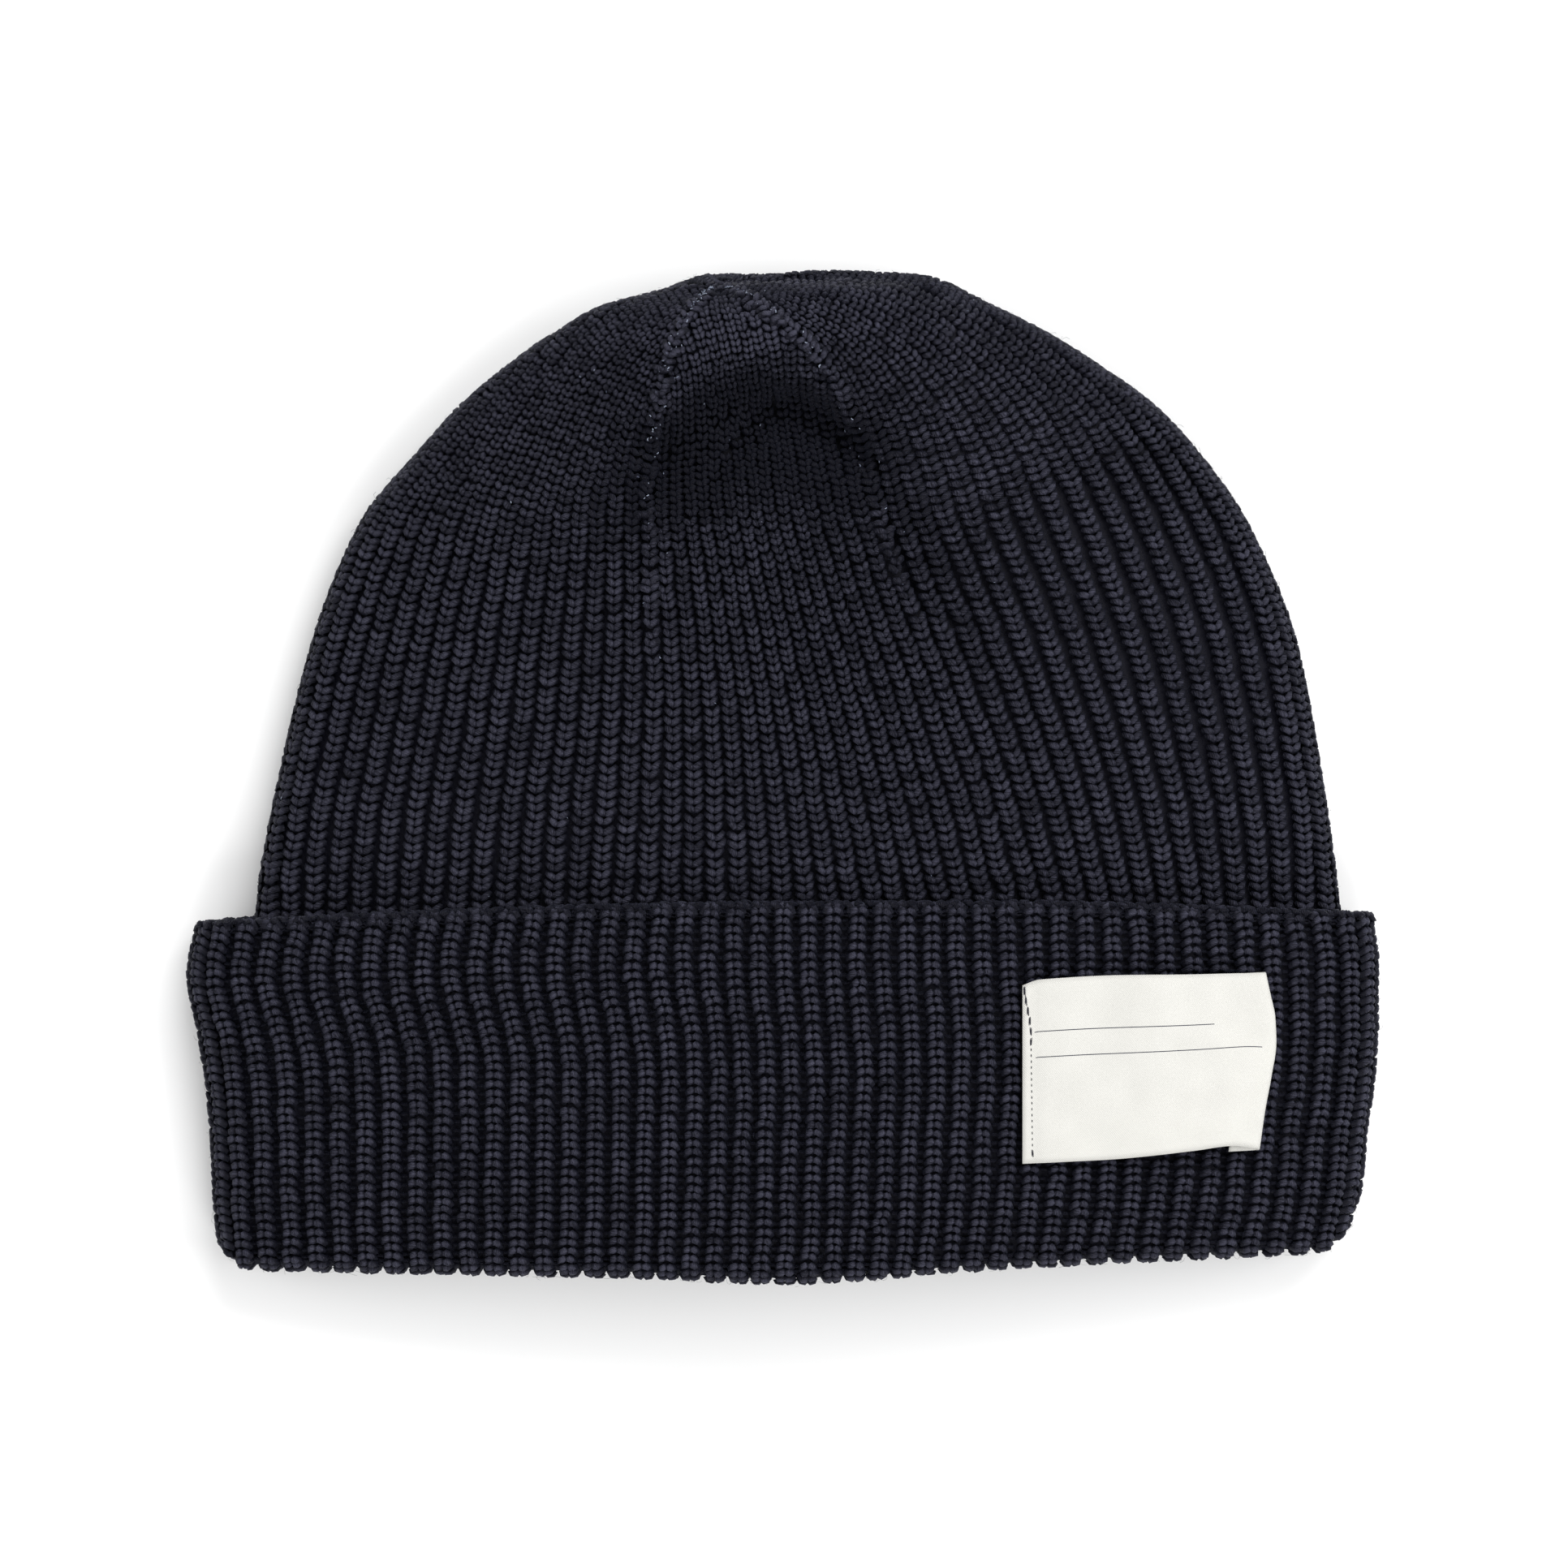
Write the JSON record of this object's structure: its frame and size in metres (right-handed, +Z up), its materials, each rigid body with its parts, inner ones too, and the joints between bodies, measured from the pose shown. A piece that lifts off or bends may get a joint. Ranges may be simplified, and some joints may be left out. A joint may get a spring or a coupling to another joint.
{
  "type": "watch cap",
  "caption": "Rib-knit wool watch cap with a deep turned-up cuff, lying flat, with a small blank tape label sewn to the cuff.",
  "frame": {"origin": "on the surface the cap lies on, under the middle of its outline", "axes": "+X across the cap towards the label, +Y from the cuff's hem to the tip of the crown, +Z up out of the front"},
  "size_m": [0.2364, 0.1998, 0.0328],
  "materials": {
    "wool_knit": "matte ribbed worsted wool knit, navy",
    "cotton_tape": "fine woven cotton tape, off-white"
  },
  "bodies": {
    "root": {"knit_cap": "wool_knit", "label": "cotton_tape"}
  },
  "joints": []
}
